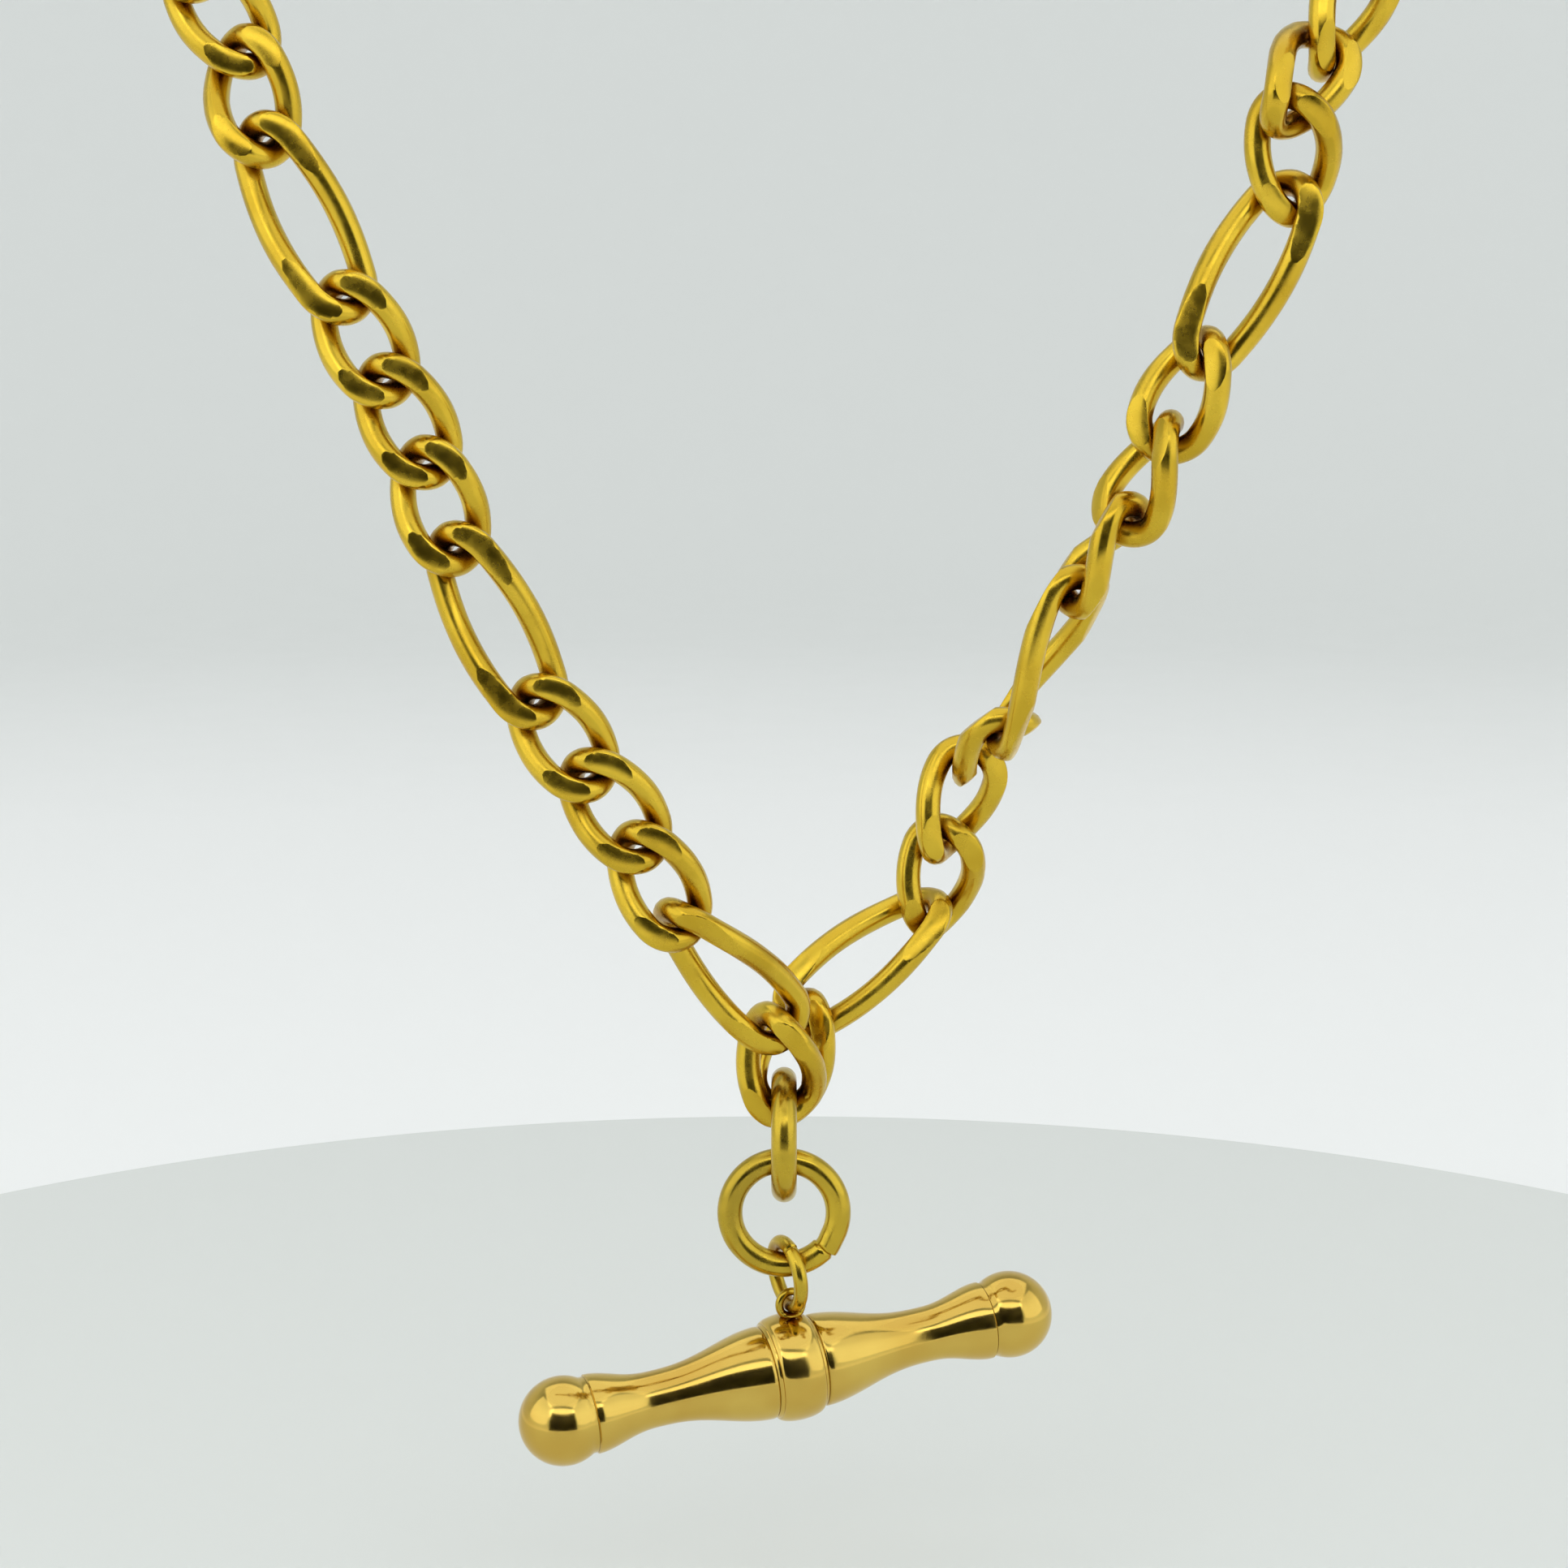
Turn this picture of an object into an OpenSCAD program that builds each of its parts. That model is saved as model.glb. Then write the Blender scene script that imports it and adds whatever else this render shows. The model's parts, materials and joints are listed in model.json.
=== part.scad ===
// Pocket watch chain: two figaro curb strands that meet at a drop of two rings and a T-bar,
// with a sprung swivel clip on the far end of each strand. Millimetres, +Z up.
// Origin: centre of the wire at the top of the upper drop ring, where both strands hang on.
// The strands rise from there to the left (-X) and to the right (+X). The front is -Y.

/* [Wire] */
// Diameter of the wire in the links and in both drop rings
wire_d = 1.4; // [1.3:0.05:1.45]
// Play between two hooked wires
play = 0.14; // [0.1:0.01:0.16]

/* [Links] */
// Distance between the end wires of a short link, centre to centre
short_len = 6.2; // [6.15:0.05:6.5]
// Distance between the end wires of a long link, centre to centre
long_len = 10.5; // [10:0.1:11.5]
// Distance between the side wires of a short link, centre to centre
short_w = 3.6; // [3.55:0.05:3.75]
// Distance between the side wires of a long link, centre to centre
long_w = 3.65; // [3.6:0.05:3.8]
// Twist of each link from its middle to either end
twist = 44; // [42:1:46]
// Thickness of a link between its two filed faces
face_t = 2.2; // [2.1:0.05:2.7]

/* [Drop] */
// Radius of both drop rings, to the centre of the wire
ring_r = 3.0; // [2.9:0.05:3.3]
// Radius of the small ring that carries the T-bar, to the centre of its wire
small_r = 1.8; // [1.7:0.05:2.0]
// Diameter of the small ring's wire
small_d = 0.8; // [0.7:0.05:0.85]

/* [T-bar] */
// Distance from the middle of the T-bar to the centre of each knob
knob_x = 13.2; // [12:0.2:16]
// Radius of each round knob
knob_r = 2.45; // [2.3:0.05:2.6]
// Largest radius of the middle bead
bead_r = 3.0; // [2.8:0.05:3.2]
// Radius of a barrel beside the bead
barrel_in_r = 2.6; // [2.4:0.05:2.7]
// Radius of a barrel at its waist
waist_r = 1.55; // [1.4:0.05:1.7]
// Radius of a barrel at the flare beside its knob
barrel_out_r = 2.2; // [2.0:0.05:2.3]

/* [Swivel] */
// Radius of the swivel's loop, to the centre of its wire
loop_r = 3.6; // [3.4:0.1:4.2]
// Straight length of the loop, which the gate closes on one side
gate_len = 5.0; // [4.6:0.2:6.0]

/* [Hidden] */
LINKS = 17;
SIDES = ["left", "right"];

// Posture of each strand, link by link, from the drop upwards, in degrees: lean away from the
// vertical, lean towards the back, and roll about the link's own length.
tilts = [
    [8, 39, 26, 36, 34, 27, 17, 27, 26, 27, 11, 35, 26, 20, 19, 18, 17],
    [19, 54, 5, 20, 38, 24, 31, 23, 24, 29, -10, 43, 23, 19, 18, 17, 16]
];
leans = [
    [-14, -21, -1, -1, 2, 2, 3, 0, 0, 7, 14, -4, 0, 3, 1, 0, 0],
    [10, 14, -15, -1, -54, -15, -12, -6, -4, 5, -18, 34, 1, 0, 0, 0, 0]
];
rolls = [
    [-15, -20, -1, 2, 3, 2, 1, 2, 2, 4, 0, 10, 10, 6, 2, 2, 2],
    [-25, -28, 10, 27, 75, 69, 89, 121, 151, 176, 180, 196, 214, 215, 215, 216, 216]
];
// Distance from the origin to each strand's first hook, towards the front or the back
hook_y = 0.98;
hook_z = sqrt(pow(ring_r, 2) - pow(hook_y, 2)) - ring_r;

// Facets: rings along a link's wire and sides around it
link_rings = 24;
link_sides = 8;
short_end_r = 1.66;
long_end_r = 1.62;
round_fn = 64;

// The drop, downwards from the origin
upper_z = -ring_r;
lower_z = upper_z - 2 * ring_r + wire_d + play;
small_top_z = lower_z - ring_r + (wire_d + small_d) / 2 + play;
small_lean = 6;
small_yaw = 24;
small_x = small_r * sin(small_lean);
small_z = small_top_z - small_r * cos(small_lean);
eye_r = 0.7;
eye_d = 0.45;
eye_x = 2 * small_x;
eye_z = small_top_z - 2 * small_r * cos(small_lean) + (small_d + eye_d) / 2 + play - eye_r;
bead_gap = 0.2;
bar_z = small_top_z - 2 * small_r * cos(small_lean) - small_d / 2 - bead_gap - bead_r;
bar_yaw = 18;
bar_pitch = -7;

// The T-bar, outwards from its middle
bead_half = 1.4;
rim_half = 1.2;
rim_rise = 0.35;
barrel_x0 = 1.45;
flare_x = knob_x - 1.5;
waist_x = 0.6 * knob_x;
swell = 1.3;
neck_x = flare_x + 0.05;
neck_r = 2.1;

// A swivel, outwards from the last link's end wire
end_ring_r = 2.1;
end_ring_d = 1.1;
bow_r = 1.9;
bow_d = 1.2;
leg_r = 0.65;
end_ring_x = end_ring_r - (wire_d + end_ring_d) / 2 - play;
bow_x = end_ring_x + end_ring_r - (end_ring_d + bow_d) / 2 - play + bow_r;
cap_x0 = bow_x + 2.3;
cap_t = 1.2;
cap_r = 2.5;
post_r = 0.6;
post_run = 0.05;
post_head_r = 1.0;
post_head_t = 0.6;
shoulder_x0 = cap_x0 + cap_t + 0.1;
shoulder_t = 1.7;
shoulder_r = 1.6;
hook_wire_r = 0.85;
rail_r = 0.9;
loop_x0 = shoulder_x0 + 1.0 + loop_r;
loop_x1 = loop_x0 + gate_len;
gate_r = 0.7;
pin_x = loop_x1 + 0.2;
pin_r = 0.35;
pin_run = 0.03;
ear_r = 1.05;
ear_z0 = 0.6;
ear_z1 = 1.1;
tongue_r = 0.75;
tongue_z0 = -0.55;
coil_r = 0.6;
coil_d = 0.24;
tongue_z1 = 0.12;

link_nodes = [for (s = SIDES) for (i = [1:LINKS]) str(s, "_link_", i < 10 ? "0" : "", i)];
drop_nodes = [
    "upper_ring", "lower_ring", "t_bar_ring", "t_bar_eye", "t_bar_bead",
    "t_bar_left_barrel", "t_bar_right_barrel", "t_bar_left_knob", "t_bar_right_knob"
];
swivel_parts = ["end_ring", "swivel_bow", "swivel_post", "swivel_hook", "swivel_gate", "gate_pin", "gate_spring"];
swivel_nodes = [for (s = SIDES) for (p = swivel_parts) str(s, "_", p)];

// Vectors and link frames

function unit(v) = v / norm(v);
function is_long(i) = i % 4 == 1;
function link_len(i) = is_long(i) ? long_len : short_len;
function link_w(i) = is_long(i) ? long_w : short_w;
function link_end_r(i) = is_long(i) ? long_end_r : short_end_r;

// Direction of link i of side s, from its lower to its upper end
function link_dir(s, i) =
    let (t = tilts[s][i], l = leans[s][i])
    [(s == 0 ? -1 : 1) * sin(t) * cos(l), sin(l), cos(t) * cos(l)];

// Centres of the wires that the links of side s hook on, one more than there are links
function hook_points(s) = [
    for (
        i = 0, p = [0, (s == 0 ? -1 : 1) * hook_y, hook_z];
        i <= LINKS;
        p = p + (i < LINKS ? (link_len(i) - wire_d - play) * link_dir(s, i) : [0, 0, 0]), i = i + 1
    ) p
];

// Frame at point p: x runs along the link, z leaves its front face, then both roll by r
function frame_at(p, x, r) =
    let (
        front = [0, -1, 0],
        z0 = unit(front - x * (front * x)),
        y0 = cross(z0, x),
        y = y0 * cos(r) + z0 * sin(r),
        z = z0 * cos(r) - y0 * sin(r)
    )
    [
        [x[0], y[0], z[0], p[0]],
        [x[1], y[1], z[1], p[1]],
        [x[2], y[2], z[2], p[2]],
        [0, 0, 0, 1]
    ];

// A link's wire: an oval of four arcs, twisted along its length

// Point of the untwisted oval whose outward normal lies at angle n
function oval_point(a, b, e, n) =
    let (
        side_r = (pow(a - e, 2) / (b - e) + b + e) / 2,
        turn = atan2(side_r - b, a - e),
        at_end = atan2(abs(sin(n)), abs(cos(n))) < turn
    )
    at_end
        ? [sign(cos(n)) * (a - e) + e * cos(n), e * sin(n), 0]
        : [side_r * cos(n), side_r * sin(n) - sign(sin(n)) * (side_r - b), 0];

// Outward normal angle at step k of m: half of the steps go round the two ends
function oval_angle(a, b, e, k, m) =
    let (
        side_r = (pow(a - e, 2) / (b - e) + b + e) / 2,
        turn = atan2(side_r - b, a - e),
        quarter = m / 4,
        q = floor(k / quarter),
        f = k / quarter - q,
        g = q % 2 == 0 ? f : 1 - f,
        n = g < 0.6 ? g / 0.6 * turn : turn + (g - 0.6) / 0.4 * (90 - turn)
    )
    q == 0 ? n : q == 1 ? 180 - n : q == 2 ? 180 + n : 360 - n;

function twisted(v, a) = let (f = -twist * v[0] / a) [v[0], v[1] * cos(f), v[1] * sin(f)];

// Point of the wire's surface at angle n round the oval and angle w round the wire
function wire_point(a, b, e, n, w) =
    let (
        c = twisted(oval_point(a, b, e, n), a),
        ahead = twisted(oval_point(a, b, e, n + 1), a),
        behind = twisted(oval_point(a, b, e, n - 1), a),
        t = unit(ahead - behind),
        f = -twist * c[0] / a,
        up = [0, -sin(f), cos(f)],
        v = unit(up - t * (up * t)),
        u = cross(t, v),
        q = c + wire_d / 2 * (cos(w) * u + sin(w) * v)
    )
    [q[0], q[1], max(-face_t / 2, min(face_t / 2, q[2]))];

module link_solid(len, w, e) {
    points = [
        for (k = [0:link_rings - 1]) for (j = [0:link_sides - 1])
            wire_point(len / 2, w / 2, e, oval_angle(len / 2, w / 2, e, k, link_rings), 360 * j / link_sides)
    ];
    faces = [
        for (k = [0:link_rings - 1]) for (j = [0:link_sides - 1])
            let (
                k2 = (k + 1) % link_rings,
                j2 = (j + 1) % link_sides,
                p = k * link_sides + j,
                q = k2 * link_sides + j,
                r = k2 * link_sides + j2,
                s = k * link_sides + j2
            )
            each [[p, q, r], [p, r, s]]
    ];
    polyhedron(points, faces);
}

// Link i of side s, hooked on the wire below it
module strand_link(s, i) {
    dir = link_dir(s, i);
    centre = hook_points(s)[i] + (link_len(i) / 2 - wire_d - play) * dir;
    color("goldenrod")
        multmatrix(frame_at(centre, dir, rolls[s][i])) link_solid(link_len(i), link_w(i), link_end_r(i));
}

// The drop

// A wire ring that lies in the XY plane
module wire_ring(r, d) {
    rotate_extrude($fn = round_fn) translate([r, 0]) circle(d = d, $fn = 32);
}

module upper_ring() {
    color("gold") translate([0, 0, upper_z]) rotate([0, 90, 0]) wire_ring(ring_r, wire_d);
}

module lower_ring() {
    color("gold") translate([0, 0, lower_z]) rotate([90, 0, 0]) wire_ring(ring_r, wire_d);
}

// Leaned in its own plane so that the T-bar hangs a little to the right
module t_bar_ring() {
    color("gold")
        translate([small_x, 0, small_z])
            rotate([0, -small_lean, 0]) rotate([0, 90, small_yaw]) wire_ring(small_r, small_d);
}

// The T-bar's own frame: x runs along the bar
module on_bar() {
    translate([eye_x, 0, bar_z]) rotate([0, 0, bar_yaw]) rotate([0, bar_pitch, 0]) children();
}

// The eye stands on the bead, square to the small ring's wire at its foot
module on_eye() {
    translate([eye_x, 0, eye_z]) rotate([90, 0, small_yaw]) children();
}

module t_bar_eye() {
    color("gold") on_eye() wire_ring(eye_r, eye_d);
}

// Turns an outline of [distance along the bar, radius] points about the bar
module turned(outline) {
    rotate([0, 90, 0]) rotate_extrude($fn = round_fn) polygon([for (p = outline) [p[1], p[0]]]);
}

// A bead with a rounded rim between two narrow steps
module t_bar_bead() {
    steps = 8;
    side_r = bead_r - rim_rise;
    rim = [for (k = [0:steps]) let (t = 180 * k / steps) [-rim_half * cos(t), side_r + rim_rise * sin(t)]];
    color("gold")
        difference() {
            on_bar()
                turned(concat([[-bead_half, 0], [-bead_half, side_r]], rim,
                              [[bead_half, side_r], [bead_half, 0]]));
            on_eye() wire_ring(eye_r, eye_d);
        }
}

// Radius of a barrel at distance x from the middle of the bar
function barrel_r(x) =
    let (
        inner = x < waist_x,
        turn = inner ? 180 * (x - barrel_x0) / (waist_x - barrel_x0) : 180 * (x - waist_x) / (flare_x - waist_x),
        wave = inner ? (1 + cos(turn)) / 2 : (1 - cos(turn)) / 2,
        end_r = inner ? barrel_in_r : barrel_out_r
    )
    waist_r + (end_r - waist_r) * pow(wave, swell);

module t_bar_barrel(side) {
    steps = 20;
    span = flare_x - barrel_x0;
    skin = [for (k = [0:steps]) let (x = barrel_x0 + span * k / steps) [x, barrel_r(x)]];
    color("goldenrod")
        on_bar() rotate([0, 0, side < 0 ? 180 : 0]) turned(concat([[barrel_x0, 0]], skin, [[flare_x, 0]]));
}

// A ball on a short neck
module t_bar_knob(side) {
    steps = 16;
    from = 180 - asin(neck_r / knob_r);
    ball = [for (k = [0:steps]) let (t = from * (1 - k / steps)) [knob_x + knob_r * cos(t), knob_r * sin(t)]];
    color("gold")
        on_bar() rotate([0, 0, side < 0 ? 180 : 0])
            turned(concat([[neck_x, 0], [neck_x, neck_r]], ball));
}

// The swivels, each in the frame of its strand's last end wire: x outwards, y across the wire

module on_end(s) {
    last = LINKS - 1;
    multmatrix(frame_at(hook_points(s)[LINKS], link_dir(s, last), rolls[s][last] - twist)) children();
}

// The same frame without the roll, so that the loop faces the front
module on_hook(s) {
    multmatrix(frame_at(hook_points(s)[LINKS], link_dir(s, LINKS - 1), 0)) children();
}

module rod(x0, x1, r) {
    translate([x0, 0, 0]) rotate([0, 90, 0]) cylinder(r = r, h = x1 - x0, $fn = round_fn);
}

module end_ring(s) {
    color("gold") on_end(s) translate([end_ring_x, 0, 0]) rotate([90, 0, 0]) wire_ring(end_ring_r, end_ring_d);
}

// Part of a wire ring in the XY plane, from angle a0 through angle a
module wire_arc(r, wire_r, a0, a) {
    rotate([0, 0, a0]) rotate_extrude(angle = a, $fn = round_fn) translate([r, 0]) circle(r = wire_r, $fn = 32);
}

// A stirrup on a round cap that turns on the post
module swivel_bow(s) {
    color("gold")
        on_end(s)
            difference() {
                union() {
                    translate([bow_x, 0, 0]) wire_arc(bow_r, bow_d / 2, 90, 180);
                    for (y = [-bow_r, bow_r]) translate([0, y, 0]) rod(bow_x - 0.1, cap_x0 + cap_t / 2, leg_r);
                    rod(cap_x0, cap_x0 + cap_t, cap_r);
                }
                rod(cap_x0 - 1, cap_x0 + cap_t + 1, post_r + post_run);
            }
}

// A headed post, pressed into the hook's shoulder
module swivel_post(s) {
    color("goldenrod")
        on_end(s)
            union() {
                rod(cap_x0 - play - post_head_t, cap_x0 - play, post_head_r);
                rod(cap_x0 - play - post_head_t / 2, shoulder_x0 + shoulder_t - 0.4, post_r);
            }
}

module swivel_hook(s) {
    color("gold")
        on_hook(s)
            difference() {
                union() {
                    rod(shoulder_x0, shoulder_x0 + shoulder_t, shoulder_r);
                    translate([loop_x0, 0, 0]) wire_arc(loop_r, hook_wire_r, 95, 175);
                    translate([0, -loop_r, 0]) rod(loop_x0 - 0.1, loop_x1 + 0.1, rail_r);
                    translate([loop_x1, 0, 0]) wire_arc(loop_r, hook_wire_r, 270, 165);
                    translate([pin_x, loop_r, -ear_z1]) cylinder(r = ear_r, h = 2 * ear_z1, $fn = round_fn);
                }
                rod(shoulder_x0 - 1, shoulder_x0 + shoulder_t - 0.4, post_r);
                translate([pin_x, loop_r, -2]) cylinder(r = pin_r, h = 4, $fn = round_fn);
                translate([pin_x - 4, loop_r - 1.5, -ear_z0]) cube([5.2, 3, 2 * ear_z0]);
            }
}

// A round bar that closes the loop, with a flat tongue on the pin
module swivel_gate(s) {
    color("goldenrod")
        on_hook(s)
            difference() {
                union() {
                    translate([0, loop_r, 0]) rod(loop_x0 + 0.15, pin_x - ear_r - 0.15, gate_r);
                    translate([pin_x - ear_r - 0.6, loop_r - 0.6, tongue_z0])
                        cube([ear_r + 0.6, 1.2, tongue_z1 - tongue_z0]);
                    translate([pin_x, loop_r, tongue_z0]) cylinder(r = tongue_r, h = tongue_z1 - tongue_z0, $fn = round_fn);
                }
                translate([pin_x, loop_r, -2]) cylinder(r = pin_r + pin_run, h = 4, $fn = round_fn);
            }
}

module gate_pin(s) {
    color("darkgoldenrod")
        on_hook(s) translate([pin_x, loop_r, -ear_z1]) cylinder(r = pin_r, h = 2 * ear_z1, $fn = round_fn);
}

// The coil of the gate's spring, round the pin beside the tongue
module gate_spring(s) {
    color("silver")
        on_hook(s) translate([pin_x, loop_r, (tongue_z1 + ear_z0) / 2]) wire_ring(coil_r, coil_d);
}

upper_ring();
lower_ring();
t_bar_ring();
t_bar_eye();
t_bar_bead();
t_bar_barrel(-1);  // t_bar_left_barrel
t_bar_barrel(1);  // t_bar_right_barrel
t_bar_knob(-1);  // t_bar_left_knob
t_bar_knob(1);  // t_bar_right_knob
for (s = [0:1]) for (i = [0:LINKS - 1])
    strand_link(s, i);
for (s = [0:1]) {
    end_ring(s);
    swivel_bow(s);
    swivel_post(s);
    swivel_hook(s);
    swivel_gate(s);
    gate_pin(s);
    gate_spring(s);
}
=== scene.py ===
import json
import math
import bmesh
import bpy
from mathutils import Matrix, Vector


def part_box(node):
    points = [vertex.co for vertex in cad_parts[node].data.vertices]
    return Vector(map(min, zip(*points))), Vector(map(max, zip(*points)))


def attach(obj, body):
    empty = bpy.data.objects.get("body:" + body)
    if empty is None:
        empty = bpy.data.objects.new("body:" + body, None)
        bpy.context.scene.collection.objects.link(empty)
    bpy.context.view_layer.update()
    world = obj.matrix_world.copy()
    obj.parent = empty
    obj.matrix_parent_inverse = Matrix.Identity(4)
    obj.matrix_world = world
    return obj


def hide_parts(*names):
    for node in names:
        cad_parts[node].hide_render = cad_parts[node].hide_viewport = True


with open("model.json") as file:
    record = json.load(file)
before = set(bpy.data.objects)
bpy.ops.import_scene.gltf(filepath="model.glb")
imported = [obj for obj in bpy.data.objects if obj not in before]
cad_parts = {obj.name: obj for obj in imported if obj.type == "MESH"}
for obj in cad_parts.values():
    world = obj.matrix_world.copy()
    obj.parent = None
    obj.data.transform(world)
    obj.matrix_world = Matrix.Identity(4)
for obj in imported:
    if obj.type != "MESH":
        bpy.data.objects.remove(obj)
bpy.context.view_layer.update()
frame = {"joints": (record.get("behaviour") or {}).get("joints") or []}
mm = 0.001
joints = {joint["name"]: joint for joint in frame["joints"]}
sides = ["left", "right"]
linkCount = 17
print("frame loaded")


# camera, at the height of a table-top view
cameraSet = {"place": (0.0, -166.5, 46.0), "down": 10.0, "focal": 3853.0, "frame": 1932.0}


def makeCamera(values):
    data = bpy.data.cameras.new("studioCamera")
    data.sensor_width = 36.0
    data.lens = 36.0 * values["focal"] / values["frame"]
    data.clip_start = 0.005
    data.clip_end = 20.0
    camera = bpy.data.objects.new("studioCamera", data)
    bpy.context.scene.collection.objects.link(camera)
    camera.location = Vector(values["place"]) * mm
    camera.rotation_euler = (math.radians(90.0 - values["down"]), 0.0, 0.0)
    bpy.context.scene.camera = camera


makeCamera(cameraSet)


# shader maths: a socket that adds its own Math nodes
class Signal:
    def __init__(self, recipe, socket):
        self.recipe = recipe
        self.socket = socket

    def maths(self, operation, first, second):
        return self.recipe.node("ShaderNodeMath", {"operation": operation}, {0: first, 1: second})

    def __add__(self, other):
        return self.maths("ADD", self, other)

    def __radd__(self, other):
        return self.maths("ADD", other, self)

    def __mul__(self, other):
        return self.maths("MULTIPLY", self, other)

    def __rmul__(self, other):
        return self.maths("MULTIPLY", other, self)


class Recipe:
    def __init__(self, name):
        self.material = bpy.data.materials.new(name)
        self.material.use_nodes = True
        self.tree = self.material.node_tree
        self.surface = next(n for n in self.tree.nodes if n.type == "BSDF_PRINCIPLED")

    def put(self, socket, value):
        if isinstance(value, Signal):
            self.tree.links.new(value.socket, socket)
        else:
            socket.default_value = value

    def node(self, kind, settings=None, sockets=None, out=0):
        made = self.tree.nodes.new(kind)
        for key, value in (settings or {}).items():
            if key == "stops":
                ramp = made.color_ramp
                ramp.elements[0].position, ramp.elements[0].color = value[0]
                ramp.elements[1].position, ramp.elements[1].color = value[-1]
                for place, colour in value[1:-1]:
                    ramp.elements.new(place).color = colour
            else:
                setattr(made, key, value)
        for key, value in (sockets or {}).items():
            self.put(made.inputs[key], value)
        return Signal(self, made.outputs[out])

    def set(self, **values):
        for key, value in values.items():
            self.put(self.surface.inputs[key.replace("_", " ")], value)

    def blend(self, amount, first, second):
        return self.node("ShaderNodeMix", {"data_type": "RGBA"}, {0: amount, 6: first, 7: second}, out=2)

    def ramp(self, value, stops):
        return self.node("ShaderNodeValToRGB", {"stops": stops}, {0: value})

    def noise(self, place, scale, detail=3.0, rough=0.5):
        return self.node("ShaderNodeTexNoise", {}, {"Vector": place, "Scale": scale, "Detail": detail,
                                                    "Roughness": rough})


def grey(value):
    return (value, value, value, 1.0)


# polished gold: broad tone, painted shade in the hollows, fine wear lines and soft smears
goldSet = {
    "bright": (0.71, 0.485, 0.045, 1.0),
    "deep": (0.57, 0.365, 0.027, 1.0),
    "hollow": (0.34, 0.17, 0.012, 1.0),
    "toneScale": 260.0,
    "smearScale": 900.0,
    "lineScale": 5200.0,
    "roughLow": 0.19,
    # the dark orange-brown of the painted shade in hollows and between parts
    "roughHigh": 0.34,
    "hollowReach": 0.0009,
}


def makeGold(name, values, shift=0.0):
    recipe = Recipe(name)
    place = recipe.node("ShaderNodeTexCoord", out=3)
    tone = recipe.noise(place, values["toneScale"], 2.0)
    smear = recipe.noise(place, values["smearScale"], 4.0, 0.6)
    stretched = recipe.node("ShaderNodeMapping", {}, {"Vector": place, "Rotation": (0.4, 0.9, 0.2),
                                                      "Scale": (1.0, 0.08, 0.5)})
    lines = recipe.noise(stretched, values["lineScale"], 3.0, 0.7)
    toneMask = recipe.ramp(tone, [(0.35, grey(0.0)), (0.68, grey(1.0))])
    body = recipe.blend(toneMask, values["bright"], values["deep"])
    # ambient occlusion pulls the colour towards the dark orange-brown in hollows and between parts: painted
    # shade
    openness = recipe.node("ShaderNodeAmbientOcclusion", {"samples": 6, "only_local": False},
                           {"Distance": values["hollowReach"]}, out=1)
    paintedShadeMask = recipe.ramp(openness, [(0.30, grey(1.0)), (0.85, grey(0.0))])
    colour = recipe.blend(paintedShadeMask, body, values["hollow"])
    span = values["roughHigh"] - values["roughLow"]
    smearMask = recipe.ramp(smear, [(0.40, grey(0.0)), (0.72, grey(1.0))])
    rough = smearMask * span + (values["roughLow"] + shift) + lines * 0.03
    height = lines * 0.35 + smear * 0.25 + tone * 1.0
    bump = recipe.node("ShaderNodeBump", {}, {"Strength": 0.10, "Distance": 0.00004, "Height": height})
    recipe.set(Base_Color=colour, Roughness=rough, Normal=bump, Metallic=1.0)
    return recipe.material


gold = makeGold("polishedGold", goldSet)
barGold = makeGold("barGold", dict(goldSet, bright=(0.70, 0.485, 0.105, 1.0), deep=(0.63, 0.41, 0.08, 1.0),
                                   roughLow=0.09, roughHigh=0.16))
ringGold = makeGold("ringGold", dict(goldSet, bright=(0.62, 0.43, 0.042, 1.0), deep=(0.42, 0.29, 0.035, 1.0),
                                     roughLow=0.18, roughHigh=0.34))
fittingGold = makeGold("fittingGold", dict(goldSet, roughLow=0.16, roughHigh=0.30))


def makeSteel(name):
    recipe = Recipe(name)
    place = recipe.node("ShaderNodeTexCoord", out=3)
    drawn = recipe.noise(place, 4200.0, 4.0, 0.7)
    colour = recipe.ramp(drawn, [(0.3, (0.34, 0.33, 0.31, 1.0)), (0.8, (0.62, 0.61, 0.58, 1.0))])
    rough = drawn * 0.25 + 0.25
    bump = recipe.node("ShaderNodeBump", {}, {"Strength": 0.2, "Distance": 0.00002, "Height": drawn})
    recipe.set(Base_Color=colour, Roughness=rough, Normal=bump, Metallic=1.0)
    return recipe.material


springSteel = makeSteel("springSteel")
print("materials made")


# hand tools for the bench work
def clearHands():
    if bpy.context.mode != "OBJECT":
        bpy.ops.object.mode_set(mode="OBJECT")
    bpy.ops.object.select_all(action="DESELECT")


def takeUp(piece):
    clearHands()
    piece.select_set(True)
    bpy.context.view_layer.objects.active = piece


def pick(piece, rule):
    # selects the points that the rule keeps, in edit mode
    shape = bmesh.from_edit_mesh(piece.data)
    for part in list(shape.verts) + list(shape.edges) + list(shape.faces):
        part.select = False
    for point in shape.verts:
        point.select = rule(point)
    shape.select_flush(True)
    bmesh.update_edit_mesh(piece.data)


def tidyMesh(piece, angle=35.0):
    takeUp(piece)
    bpy.ops.object.mode_set(mode="EDIT")
    bpy.ops.mesh.select_all(action="SELECT")
    bpy.ops.mesh.remove_doubles(threshold=0.000002)
    bpy.ops.mesh.normals_make_consistent(inside=False)
    bpy.ops.object.mode_set(mode="OBJECT")
    bpy.ops.object.shade_smooth_by_angle(angle=math.radians(angle))
    return piece


def settle(piece, place):
    # puts the mesh where it belongs and leaves the object at the origin
    piece.data.transform(place)
    if place.determinant() < 0.0:
        piece.data.flip_normals()
    piece.data.update()
    return piece


def copyOf(piece, name):
    made = bpy.data.objects.new(name, piece.data.copy())
    made.data.name = name
    bpy.context.scene.collection.objects.link(made)
    return made


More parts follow.
